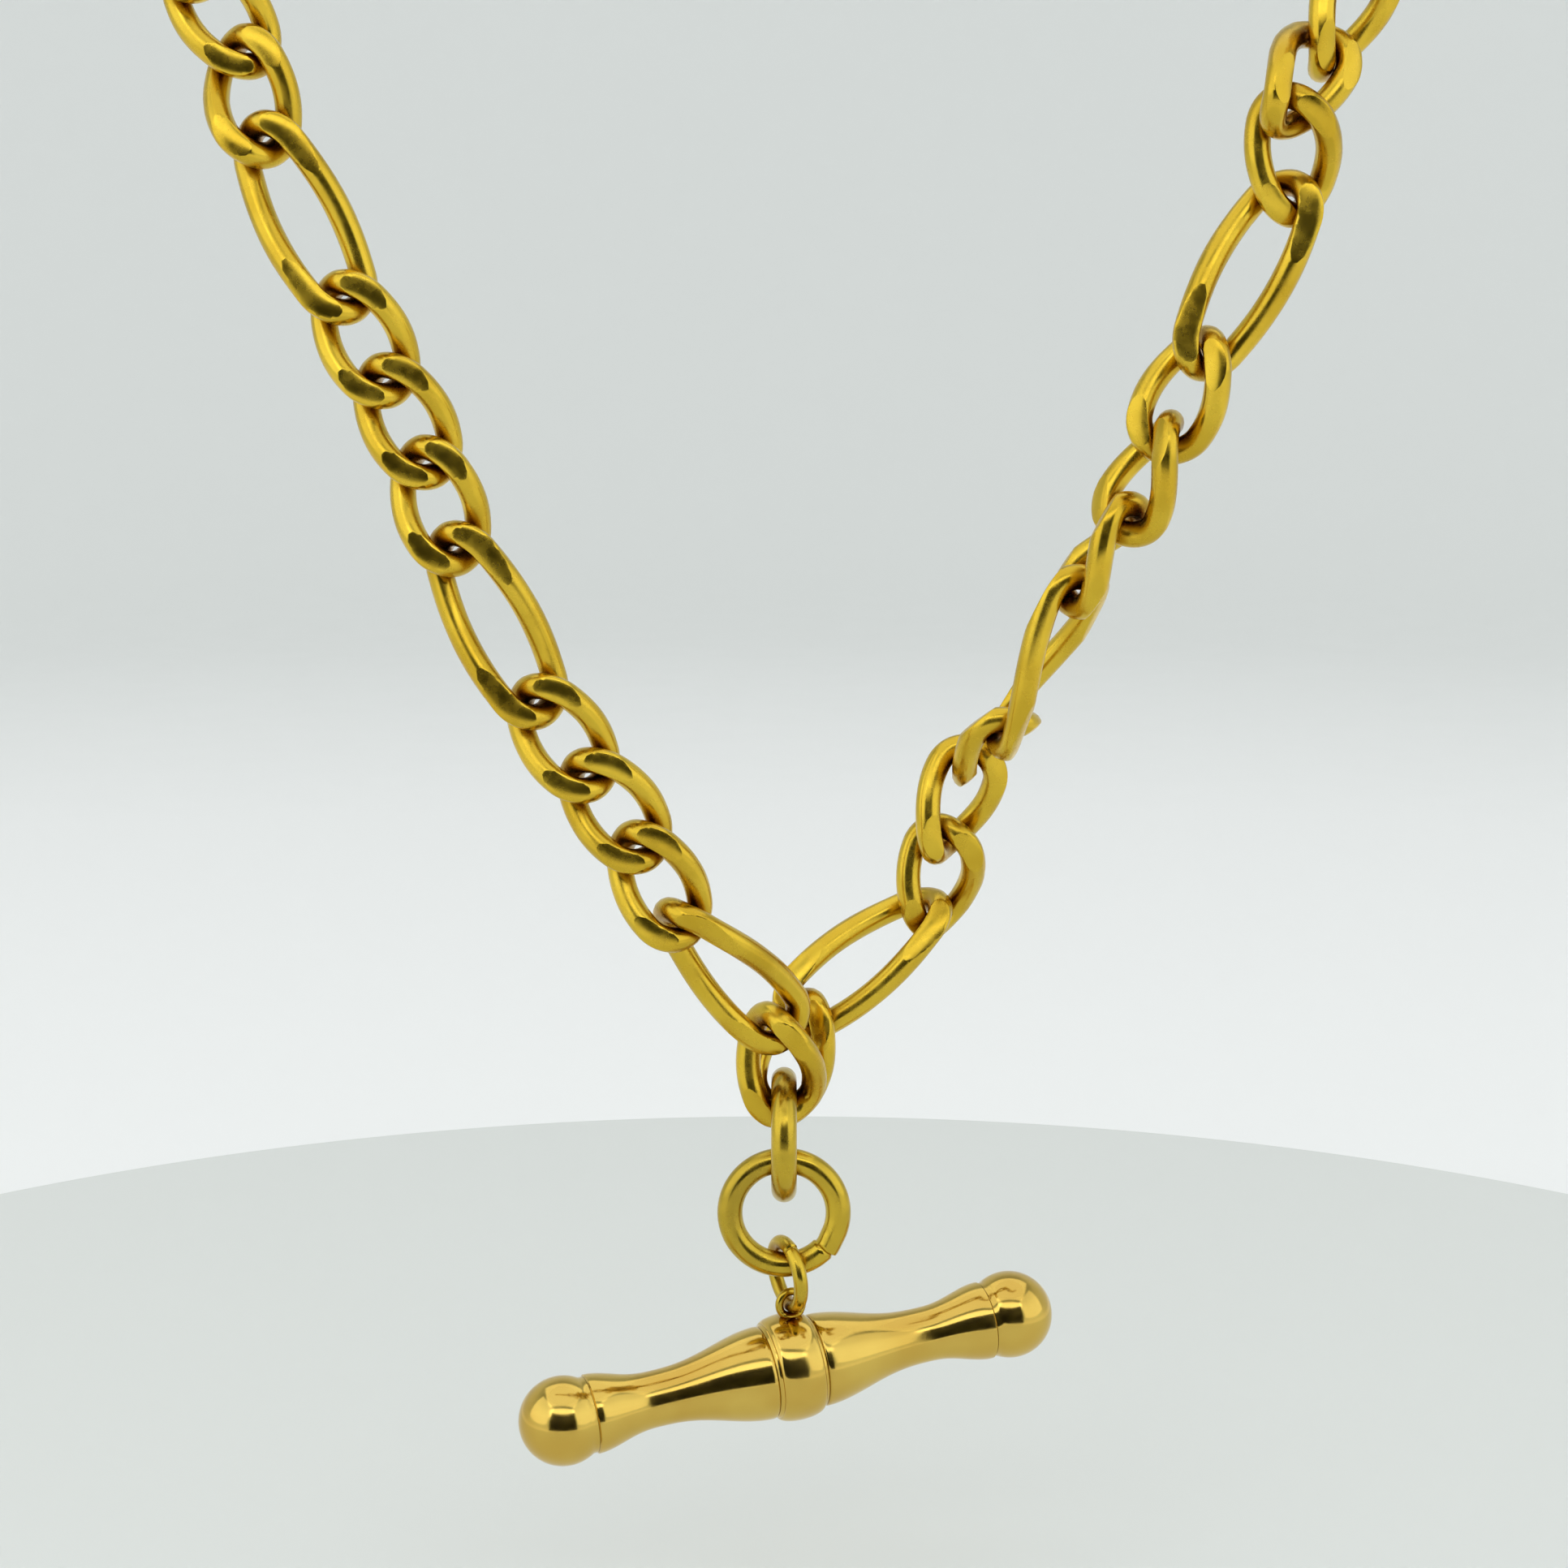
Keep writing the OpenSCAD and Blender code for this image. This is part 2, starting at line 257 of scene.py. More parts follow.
def dress(piece, material, body, nodes):
    piece.data.materials.clear()
    piece.data.materials.append(material)
    for face in piece.data.polygons:
        face.material_index = 0
    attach(piece, body)
    if nodes:
        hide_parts(*nodes)
    return piece


def bendWire(name, outline, radius, sides=24, closed=True):
    # turns an outline object into round wire
    takeUp(outline)
    bpy.ops.object.convert(target="CURVE")
    curve = bpy.context.active_object
    for run in curve.data.splines:
        run.use_cyclic_u = closed
    curve.data.dimensions = "3D"
    curve.data.twist_mode = "MINIMUM"
    curve.data.bevel_depth = radius
    curve.data.bevel_resolution = sides // 4 - 1
    curve.data.use_fill_caps = not closed
    bpy.ops.object.convert(target="MESH")
    wire = bpy.context.active_object
    wire.name = name
    return wire


def pathOf(name, points, closed=False):
    # an edge path drawn point by point
    data = bpy.data.meshes.new(name)
    last = len(points) - 1
    edges = [(k, k + 1) for k in range(last)]
    if closed:
        edges.append((last, 0))
    data.from_pydata([tuple(p) for p in points], edges, [])
    made = bpy.data.objects.new(name, data)
    bpy.context.scene.collection.objects.link(made)
    return made


def turnOnLathe(name, stations, count=96, capped=True):
    # grows a tube of circles along x, one station after another
    clearHands()
    x0, r0 = stations[0]
    bpy.ops.mesh.primitive_circle_add(vertices=count, radius=r0, location=(x0, 0, 0),
                                      rotation=(0, math.radians(90.0), 0))
    piece = bpy.context.active_object
    piece.name = name
    bpy.ops.object.transform_apply(location=True, rotation=True, scale=True)
    bpy.ops.object.mode_set(mode="EDIT")
    bpy.ops.mesh.select_all(action="SELECT")
    if capped:
        bpy.ops.mesh.edge_face_add()
    x, r = x0, r0
    for nextX, nextR in stations[1:]:
        bpy.ops.mesh.extrude_region_move(TRANSFORM_OT_translate={"value": (nextX - x, 0, 0)})
        bpy.ops.transform.resize(value=(1.0, nextR / r, nextR / r), center_override=(nextX, 0, 0))
        x, r = nextX, nextR
    bpy.ops.object.mode_set(mode="OBJECT")
    return tidyMesh(piece)


# curb links: an oval of wire, twisted, with two broad filed faces
linkSet = {
    "wire": 1.4 * mm,
    "play": 0.14 * mm,
    "twist": 44.0,
    "faceGap": 2.2 * mm,
    "crown": 0.26,
    "ease": 0.03 * mm,
    "rim": 0.06 * mm,
    "short": {"length": 6.2 * mm, "width": 3.6 * mm, "end": 1.66 * mm, "steps": 104},
    "long": {"length": 10.5 * mm, "width": 3.65 * mm, "end": 1.62 * mm, "steps": 128},
}


def ovalPoint(a, b, e, turn):
    # place on an oval of two end arcs and two long side arcs, by the way it faces
    sideRadius = ((a - e) ** 2 / (b - e) + b + e) / 2
    meet = math.atan2(sideRadius - b, a - e)
    c, s = math.cos(turn), math.sin(turn)
    if math.atan2(abs(s), abs(c)) < meet:
        return Vector((math.copysign(a - e, c) + e * c, e * s, 0.0))
    return Vector((sideRadius * c, sideRadius * s - math.copysign(sideRadius - b, s), 0.0))


def evenOval(a, b, e, count):
    # the same oval in equal steps
    fine = 7200
    points = [ovalPoint(a, b, e, 2 * math.pi * (k + 0.5) / fine) for k in range(fine)]
    lengths = [0.0]
    for k in range(fine):
        lengths.append(lengths[-1] + (points[(k + 1) % fine] - points[k]).length)
    out = []
    k = 0
    for step in range(count):
        goal = lengths[-1] * step / count
        while lengths[k + 1] < goal:
            k += 1
        part = (goal - lengths[k]) / (lengths[k + 1] - lengths[k])
        out.append(points[k].lerp(points[(k + 1) % fine], part))
    return out


def makeLink(kind):
    shape = linkSet[kind]
    a, b, e = shape["length"] / 2, shape["width"] / 2, shape["end"]
    outline = pathOf(kind + "Oval", evenOval(a, b, e, shape["steps"]), closed=True)
    takeUp(outline)
    twister = outline.modifiers.new("twist", "SIMPLE_DEFORM")
    twister.deform_method = "TWIST"
    twister.deform_axis = "X"
    twister.angle = math.radians(-2 * linkSet["twist"])
    bpy.ops.object.modifier_apply(modifier="twist")
    link = bendWire(kind + "Link", outline, (linkSet["wire"] - linkSet["ease"]) / 2, 28)
    takeUp(link)
    bpy.ops.object.mode_set(mode="EDIT")
    half = linkSet["faceGap"] / 2
    for way in (-1.0, 1.0):
        level = way * half
        bpy.ops.mesh.select_all(action="SELECT")
        bpy.ops.mesh.bisect(plane_co=(0, 0, level), plane_no=(0, 0, 1), threshold=0.0000005)
        pick(link, lambda p: p.co.z * way > half + 0.0000005)
        bpy.ops.transform.resize(value=(1.0, 1.0, linkSet["crown"]), center_override=(0, 0, level))
        shapeNow = bmesh.from_edit_mesh(link.data)
        for part in list(shapeNow.verts) + list(shapeNow.faces):
            part.select = False
        for edge in shapeNow.edges:
            edge.select = all(abs(p.co.z - level) < 0.000001 for p in edge.verts)
        bmesh.update_edit_mesh(link.data)
        bpy.ops.mesh.select_mode(type="EDGE")
        bpy.ops.mesh.bevel(offset=linkSet["rim"], segments=3, profile=0.5, affect="EDGES", clamp_overlap=True)
        bpy.ops.mesh.select_mode(type="VERT")
    bpy.ops.object.mode_set(mode="OBJECT")
    return tidyMesh(link, 28.0)


def jointPlace(name):
    return Vector(joints[name]["pos_m"])


def linkFrame(side, number):
    # where a link lies at rest, from the joints at its two ends
    start = jointPlace(f"{side}_link_{number:02d}")
    following = f"{side}_link_{number + 1:02d}" if number < linkCount else f"{side}_end_ring"
    finish = jointPlace(following)
    along = (finish - start).normalized()
    tangent = Vector(joints[following]["axis"])
    if number < linkCount and number % 2 == 1:
        tangent = -tangent
    tangent = (tangent - along * tangent.dot(along)).normalized()
    turn = math.radians(linkSet["twist"])
    across = tangent * math.cos(turn) + along.cross(tangent) * math.sin(turn)
    front = along.cross(across)
    kind = "long" if number % 4 == 2 else "short"
    reach = linkSet[kind]["length"] / 2 - linkSet["wire"] - linkSet["play"]
    centre = start + along * reach
    place = Matrix.Identity(4)
    for row in range(3):
        place[row][0], place[row][1] = along[row], across[row]
        place[row][2], place[row][3] = front[row], centre[row]
    return kind, place


def makeStrands():
    masters = {kind: makeLink(kind) for kind in ("short", "long")}
    for side in sides:
        for number in range(1, linkCount + 1):
            kind, place = linkFrame(side, number)
            link = copyOf(masters[kind], f"{side}Link{number:02d}")
            settle(link, place)
            node = f"{side}_link_{number:02d}"
            dress(link, gold, node, [node])
    for master in masters.values():
        bpy.data.objects.remove(master)


makeStrands()
print("strands made")


# drop rings: round wire closed with a butt seam
ringSet = {
    "upper_ring": {"radius": 3.0 * mm, "wire": 1.4 * mm, "seam": 65.0, "step": 0.05 * mm},
    "lower_ring": {"radius": 3.0 * mm, "wire": 1.4 * mm, "seam": -42.0, "step": 0.09 * mm},
    "t_bar_ring": {"radius": 1.8 * mm, "wire": 0.8 * mm, "seam": 150.0, "step": 0.03 * mm},
}


def makeRing(name, values, count=144):
    # a wire ring in the XY plane whose two ends meet a little out of line
    clearHands()
    bpy.ops.mesh.primitive_torus_add(major_radius=values["radius"], minor_radius=values["wire"] / 2,
                                     major_segments=count, minor_segments=32)
    ring = bpy.context.active_object
    ring.name = name
    middle = math.radians(values["seam"])
    gap = 2 * math.pi / count
    bpy.ops.object.mode_set(mode="EDIT")

    def away(point):
        turn = math.atan2(point.co.y, point.co.x) - middle
        return (turn + math.pi) % (2 * math.pi) - math.pi

    steps = round(middle / gap)
    middle = steps * gap
    seat = Vector((math.cos(middle), math.sin(middle), 0.0)) * values["radius"]
    pick(ring, lambda p: abs(away(p)) < gap * 0.4)
    bpy.ops.transform.resize(value=(0.86, 0.86, 0.86), center_override=tuple(seat))
    for near, share in ((1, 1.0), (2, 0.85), (3, 0.6), (4, 0.35), (5, 0.15)):
        pick(ring, lambda p: abs(away(p) - near * gap) < gap * 0.4)
        bpy.ops.transform.translate(value=tuple(seat.normalized() * values["step"] * share))
    bpy.ops.object.mode_set(mode="OBJECT")
    return tidyMesh(ring, 40.0)


def nodeMatrix(node, normal, around):
    # frame of a ring from its node's box centre, its normal and its own x
    low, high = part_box(node)
    centre = (low + high) / 2
    z = Vector(normal).normalized()
    x = (Vector(around) - z * z.dot(Vector(around))).normalized()
    y = z.cross(x)
    return Matrix(((x[0], y[0], z[0], centre[0]), (x[1], y[1], z[1], centre[1]),
                   (x[2], y[2], z[2], centre[2]), (0, 0, 0, 1)))


smallTangent = Vector(joints["t_bar"]["axis"])
smallFoot = jointPlace("t_bar")


def makeDrop():
    upper = settle(makeRing("upperRing", ringSet["upper_ring"]),
                   nodeMatrix("upper_ring", (1, 0, 0), (0, 1, 0)))
    dress(upper, ringGold, "upper_ring", ["upper_ring"])
    lower = settle(makeRing("lowerRing", ringSet["lower_ring"]),
                   nodeMatrix("lower_ring", (0, -1, 0), (1, 0, 0)))
    dress(lower, ringGold, "lower_ring", ["lower_ring"])
    low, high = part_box("t_bar_ring")
    centre = (low + high) / 2
    radial = (smallFoot - centre).normalized()
    small = settle(makeRing("barRing", ringSet["t_bar_ring"]),
                   nodeMatrix("t_bar_ring", smallTangent.cross(radial), radial))
    dress(small, ringGold, "t_bar_ring", ["t_bar_ring"])


makeDrop()
print("drop rings made")


# T-bar: a crowned bead between two waisted barrels, with a ball on either end
barSet = {
    "knobAt": 13.2, "knob": 2.45, "bead": 3.0, "barrelIn": 2.6, "waist": 1.55, "barrelOut": 2.2,
    "beadHalf": 1.445, "seam": 2.52, "beadShoulder": 2.62, "barrelStart": 1.45, "flareBack": 1.5,
    "waistPart": 0.6, "swell": 1.3, "neck": 2.1, "yaw": 18.0, "pitch": -7.0, "eye": 0.70, "eyeWire": 0.45,
}


def barPlace():
    low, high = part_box("t_bar_bead")
    centre = (low + high) / 2
    return (Matrix.Translation(centre) @ Matrix.Rotation(math.radians(barSet["yaw"]), 4, "Z")
            @ Matrix.Rotation(math.radians(barSet["pitch"]), 4, "Y"))


def barrelRadius(x):
    start, end = barSet["barrelStart"], barSet["knobAt"] - barSet["flareBack"]
    waistAt = barSet["waistPart"] * barSet["knobAt"]
    thin = barSet["waist"]
    if x < waistAt:
        wave = (1 + math.cos(math.pi * (x - start) / (waistAt - start))) / 2
        return thin + (barSet["barrelIn"] - thin) * wave ** barSet["swell"]
    wave = (1 - math.cos(math.pi * (x - waistAt) / (end - waistAt))) / 2
    return thin + (barSet["barrelOut"] - thin) * wave ** barSet["swell"]


def roundStep(x, r, width, rise, count=6):
    # stations over a half-round moulding of the given width
    return [(x - width / 2 * math.cos(math.pi * k / count), r + rise * math.sin(math.pi * k / count))
            for k in range(count + 1)]


def makeBead():
    # a crowned band with a fine turned line near either edge
    half, seam, shoulder = barSet["beadHalf"], barSet["seam"], barSet["beadShoulder"]
    rise = barSet["bead"] - 2.64
    edge = [(half, 1.9), (half - 0.005, seam), (1.38, seam + 0.05), (1.30, shoulder)]
    inwards = [(-x, r) for x, r in edge]
    return inwards + roundStep(0.0, 2.64, 2.48, rise, 28) + edge[::-1]


def makeBarrel():
    start, end = barSet["barrelStart"], barSet["knobAt"] - barSet["flareBack"]
    seam = barSet["seam"]
    stations = [(start, 1.95), (start + 0.005, seam), (start + 0.06, seam + 0.05),
                (start + 0.14, barSet["barrelIn"] - 0.01)]
    count = 48
    for k in range(1, count):
        x = start + 0.14 + (end - 0.22 - start) * k / count
        stations.append((x, barrelRadius(x)))
    stations += [(end - 0.08, barSet["barrelOut"] - 0.01), (end - 0.005, barSet["neck"] - 0.01), (end, 1.8)]
    return stations


def makeKnob():
    at, r, neck = barSet["knobAt"], barSet["knob"], barSet["neck"]
    start = at - barSet["flareBack"] + 0.005
    stations = [(start, 1.8), (start + 0.005, neck - 0.01), (start + 0.05, neck)]
    begin = math.pi - math.asin(neck / r)
    for k in range(33):
        turn = max(begin * (1 - k / 32), 0.03)
        stations.append((at + r * math.cos(turn), r * math.sin(turn)))
    return stations


def metres(stations):
    return [(x * mm, r * mm) for x, r in stations]


def makeBar():
    place = barPlace()
    around = Matrix.Rotation(math.pi, 4, "Z")
    bead = turnOnLathe("barBead", metres(makeBead()), 112)
    dress(settle(bead, place), barGold, "t_bar", ["t_bar_bead"])
    for side in sides:
        turn = around if side == "left" else Matrix.Identity(4)
        barrel = turnOnLathe(f"{side}Barrel", metres(makeBarrel()), 96)
        dress(settle(barrel, place @ turn), barGold, "t_bar", [f"t_bar_{side}_barrel"])
        knob = turnOnLathe(f"{side}Knob", metres(makeKnob()), 96)
        dress(settle(knob, place @ turn), barGold, "t_bar", [f"t_bar_{side}_knob"])
    clearHands()
    wire = barSet["eyeWire"] * mm / 2
    bpy.ops.mesh.primitive_torus_add(major_radius=barSet["eye"] * mm, minor_radius=wire, major_segments=72,
                                     minor_segments=24, rotation=(math.radians(90.0), 0, 0))
    eye = bpy.context.active_object
    eye.name = "barEye"
    bpy.ops.object.transform_apply(location=False, rotation=True, scale=True)
    # the solder spreads the foot of the eye
    bpy.ops.object.mode_set(mode="EDIT")
    foot = -barSet["eye"] * mm
    for level, wide in ((0.45, 1.12), (0.30, 1.18), (0.15, 1.22)):
        pick(eye, lambda p: p.co.z < foot + level * mm)
        bpy.ops.transform.resize(value=(1.0, wide, 1.0), center_override=(0, 0, foot))
    bpy.ops.object.mode_set(mode="OBJECT")
    tidyMesh(eye, 50.0)
    low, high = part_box("t_bar_eye")
    turn = math.atan2(-smallTangent.x, smallTangent.y)
    stand = Matrix.Translation((low + high) / 2) @ Matrix.Rotation(turn, 4, "Z")
    dress(settle(eye, stand), ringGold, "t_bar", ["t_bar_eye"])


makeBar()
print("T-bar made")

# swivels: a stirrup on a turning collar, a headed post, and a loop with a sprung gate
swivelSet = {
    "ringRadius": 2.1, "ringWire": 1.1, "ringAt": 0.71,
    "bowRadius": 1.9, "bowWire": 0.6, "bowAt": 3.42,
    "capAt": 5.72, "capThick": 1.2, "capRadius": 2.5, "bore": 0.66, "post": 0.6,
    "shoulderAt": 7.02, "shoulderThick": 1.7, "shoulderRadius": 1.6,
    "loopRadius": 3.6, "loopWire": 0.85, "loopAt": 11.62, "loopEnd": 16.62,
    "pinAt": 16.82, "pin": 0.35, "earRadius": 1.05, "earLow": 0.62, "earHigh": 1.1,
    "gate": 0.7, "tongueLow": -0.55, "tongueHigh": 0.12, "pinRun": 0.39, "coil": 0.59, "coilWire": 0.11,
}


def swivelPlace(side, facing):
    # x runs out along the strand; facing names the joint whose axis is y or z
    x = Vector(joints[f"{side}_swivel_hook"]["axis"]).normalized()
    z = Vector(joints[facing]["axis"])
    z = (z - x * x.dot(z)).normalized()
    y = z.cross(x)
    origin = jointPlace(f"{side}_end_ring")
    return Matrix(((x[0], y[0], z[0], origin[0]), (x[1], y[1], z[1], origin[1]),
                   (x[2], y[2], z[2], origin[2]), (0, 0, 0, 1)))


def arcPoints(centre, radius, begin, sweep, count):
    return [(centre + radius * math.cos(math.radians(begin + sweep * k / count)),
             radius * math.sin(math.radians(begin + sweep * k / count)), 0.0) for k in range(count + 1)]


def wirePiece(name, points, radius, sides=24, closed=False):
    path = pathOf(name, [Vector(p) * mm for p in points], closed)
    return tidyMesh(bendWire(name, path, radius * mm, sides, closed), 40.0)


def cutWith(piece, tool, operation):
    takeUp(piece)
    join = piece.modifiers.new("join", "BOOLEAN")
    join.operation = operation
    join.solver = "EXACT"
    join.object = tool
    bpy.ops.object.modifier_apply(modifier="join")
    bpy.data.objects.remove(tool)
    return piece


def block(name, low, high):
    clearHands()
    bpy.ops.mesh.primitive_cube_add(size=1.0, location=[(a + b) / 2 * mm for a, b in zip(low, high)])
    cube = bpy.context.active_object
    cube.name = name
    cube.scale = [(b - a) * mm for a, b in zip(low, high)]
    bpy.ops.object.transform_apply(location=True, rotation=True, scale=True)
    return cube


def disc(name, x, y, low, high, radius, count=64):
    clearHands()
    bpy.ops.mesh.primitive_cylinder_add(vertices=count, radius=radius * mm, depth=(high - low) * mm,
                                        location=(x * mm, y * mm, (low + high) / 2 * mm))
    made = bpy.context.active_object
    made.name = name
    bpy.ops.object.transform_apply(location=True, rotation=True, scale=True)
    return made


def softEdges(piece, width, angle=40.0):
    takeUp(piece)
    soften = piece.modifiers.new("soft", "BEVEL")
    soften.width = width * mm
    soften.segments = 2
    soften.limit_method = "ANGLE"
    soften.angle_limit = math.radians(angle)
    bpy.ops.object.modifier_apply(modifier="soft")
    bpy.ops.object.shade_smooth_by_angle(angle=math.radians(35.0))
    return piece


def makeBow(values):
    low, high = values["capAt"], values["capAt"] + values["capThick"]
    y, at = values["bowRadius"], values["bowAt"]
    points = [(low + 0.5, y, 0), (at + 1.4, y, 0), (at + 0.7, y, 0)]
    points += arcPoints(at, y, 90, 180, 36)
    points += [(at + 0.7, -y, 0), (at + 1.4, -y, 0), (low + 0.5, -y, 0)]
    stirrup = wirePiece("stirrup", points, values["bowWire"])
    rim = values["capRadius"]
    stations = [(low, rim - 0.35), (low + 0.05, rim - 0.18)] + roundStep(low + 0.3, rim - 0.12, 0.42, 0.12)
    stations += [(low + 0.56, rim - 0.2), (low + 0.64, rim - 0.2)]
    stations += roundStep(high - 0.3, rim - 0.12, 0.42, 0.12)
    stations += [(high - 0.05, rim - 0.18), (high, rim - 0.35), (high, values["bore"]), (low, values["bore"]),
                 (low, rim - 0.35)]
    collar = turnOnLathe("collar", metres(stations), 80, capped=False)
    return cutWith(collar, stirrup, "UNION")


def makePost(values):
    head = values["capAt"] - 0.14
    stations = [(head - 0.6, 0.35), (head - 0.56, 0.62), (head - 0.42, 0.86), (head - 0.22, 0.98),
                (head - 0.04, 1.0), (head, 0.94), (head, values["post"] + 0.01),
                (head + 0.02, values["post"]), (values["shoulderAt"] + 1.2, values["post"])]
    return turnOnLathe("post", metres(stations), 56)


def makeHook(values):
    start, end = values["shoulderAt"], values["shoulderAt"] + values["shoulderThick"]
    r, loop, wire = values["shoulderRadius"], values["loopRadius"], values["loopWire"]
    stations = [(start, 0.7), (start, r - 0.22), (start + 0.05, r - 0.1)]
    stations += roundStep(start + 0.32, r - 0.08, 0.44, 0.08)
    stations += [(start + 0.58, r - 0.16), (start + 0.64, r - 0.16), (start + 0.70, r - 0.06)]
    stations += [(end - 0.5, r - 0.02), (end - 0.15, r - 0.15), (end, r - 0.45)]
    shoulder = turnOnLathe("shoulder", metres(stations), 72)
    points = arcPoints(values["loopAt"], loop, 92, 178, 44)
    points += [(values["loopAt"] + k, -loop, 0.0) for k in (1.0, 2.5, 4.0)]
    points += arcPoints(values["loopEnd"], loop, 270, 165, 42)
    loopWire = wirePiece("loop", points, wire, 28)
    hook = cutWith(loopWire, shoulder, "UNION")
    pinAt = values["pinAt"]
    ears = disc("ears", pinAt, loop, -values["earHigh"], values["earHigh"], values["earRadius"])
    hook = cutWith(hook, ears, "UNION")
    low = -values["earLow"]
    slot = block("slot", (pinAt - 4, loop - 1.5, low), (pinAt + 1.2, loop + 1.5, -low))
    hook = cutWith(hook, slot, "DIFFERENCE")
    hook = cutWith(hook, disc("pinHole", pinAt, loop, -2, 2, values["pin"] + 0.01), "DIFFERENCE")
    return softEdges(hook, 0.05)


def makeGate(values):
    start, end = values["loopAt"] + 0.10, values["pinAt"] - values["earRadius"] - 0.12
    r = values["gate"]
    stations = [(start, 0.3), (start + 0.05, 0.48), (start + 0.16, r - 0.06), (start + 0.3, r)]
    middle = start + 0.9
    stations += [(middle - 0.3, r)] + roundStep(middle, r, 0.36, 0.07)
    stations += [(middle + 0.5, r), (end - 0.2, r), (end - 0.06, r - 0.05), (end, r - 0.2)]
    bar = turnOnLathe("gateBar", metres(stations), 56)
    settle(bar, Matrix.Translation((0, values["loopRadius"] * mm, 0)))
    pinAt, y = values["pinAt"], values["loopRadius"]
    low, high = values["tongueLow"], values["tongueHigh"]
    tongue = block("tongue", (end - 0.45, y - 0.6, low), (pinAt, y + 0.6, high))
    gate = cutWith(bar, tongue, "UNION")
    gate = cutWith(gate, disc("tongueEnd", pinAt, y, low + 0.005, high - 0.005, 0.75), "UNION")
    gate = cutWith(gate, disc("tongueHole", pinAt, y, -2, 2, values["pinRun"]), "DIFFERENCE")
    return softEdges(gate, 0.04)


def makePin(values):
    y = values["loopRadius"]
    high, r = values["earHigh"], values["pin"]
    stations = [(-high - 0.05, 0.12), (-high - 0.03, 0.24), (-high + 0.03, r - 0.02), (-high + 0.1, r),
                (high - 0.1, r), (high - 0.03, r - 0.02), (high + 0.03, 0.24), (high + 0.05, 0.12)]
    pin = turnOnLathe("gatePin", metres(stations), 40)
    stand = Matrix.Translation((values["pinAt"] * mm, y * mm, 0)) @ Matrix.Rotation(math.radians(-90), 4, "Y")
    return settle(pin, stand)


def makeCoil(values):
    y, at, r = values["loopRadius"], values["pinAt"], values["coil"]
    low, high = values["tongueHigh"] + 0.12, values["earLow"] - 0.13
    turns, count = 2, 64
    points = [(at - 1.15, y + r + 0.02, low), (at - 0.6, y + r, low)]
    for k in range(count + 1):
        turn = math.pi / 2 - 2 * math.pi * turns * k / count
        points.append((at + r * math.cos(turn), y + r * math.sin(turn), low + (high - low) * k / count))
    points += [(at + 0.35, y + r + 0.01, high), (at + 0.62, y + r - 0.02, high)]
    return wirePiece("gateCoil", points, values["coilWire"], 12)


def makeSwivels():
    parts = {
        "swivel_bow": (makeBow(swivelSet), "end", fittingGold, "gold"),
        "swivel_post": (makePost(swivelSet), "hook", fittingGold, "dark_gold"),
        "swivel_hook": (makeHook(swivelSet), "hook", fittingGold, "gold"),
        "swivel_gate": (makeGate(swivelSet), "hook", fittingGold, "gold"),
        "gate_pin": (makePin(swivelSet), "hook", fittingGold, "dark_gold"),
        "gate_spring": (makeCoil(swivelSet), "hook", springSteel, "spring"),
    }
    bodies = {"swivel_bow": "swivel_bow", "swivel_gate": "swivel_gate"}
    ringValues = {"radius": swivelSet["ringRadius"] * mm, "wire": swivelSet["ringWire"] * mm,
                  "seam": 200.0, "step": 0.04 * mm}
    endRing = makeRing("endRing", ringValues)
    settle(endRing, Matrix.Translation((swivelSet["ringAt"] * mm, 0, 0))
           @ Matrix.Rotation(math.radians(90), 4, "X"))
    for side in sides:
        places = {"end": swivelPlace(side, f"{side}_swivel_bow"),
                  "hook": swivelPlace(side, f"{side}_swivel_gate")}
        ring = settle(copyOf(endRing, f"{side}EndRing"), places["end"])
        dress(ring, ringGold, f"{side}_end_ring", [f"{side}_end_ring"])
        for part, (master, facing, material, slotName) in parts.items():
            made = settle(copyOf(master, side + master.name[0].upper() + master.name[1:]), places[facing])
            dress(made, material, f"{side}_{bodies.get(part, 'swivel_hook')}", [f"{side}_{part}"])
    bpy.data.objects.remove(endRing)
    for master, *rest in parts.values():
        bpy.data.objects.remove(master)


makeSwivels()
print("swivels made")


# studio: a round pale turntable in a pale bowl, soft lights and a dim open front
studioSet = {
    "tableRadius": 103.0, "tableY": 2.4, "tableTop": -32.0, "tableThick": 10.0,
    "floor": -46.0, "bowlRadius": 900.0, "bowlHeight": 1500.0, "tableTone": (0.735, 0.76, 0.74, 1.0),
    "floorTone": (0.93, 0.94, 0.94, 1.0), "wallTone": (0.83, 0.85, 0.84, 1.0),
}


def paleMaterial(name, near, far):
    # pale card, its tone changing from the middle outwards
    recipe = Recipe(name)
    place = recipe.node("ShaderNodeTexCoord", out=3)
    grain = recipe.noise(place, 90.0, 2.0)
    reach = recipe.node("ShaderNodeVectorMath", {"operation": "LENGTH"}, {0: place}, out=1)
    tone = recipe.ramp(reach + grain * 0.04, [(0.36, near), (0.62, far)])
    recipe.set(Base_Color=tone, Roughness=grain * 0.1 + 0.55)
    return recipe.material


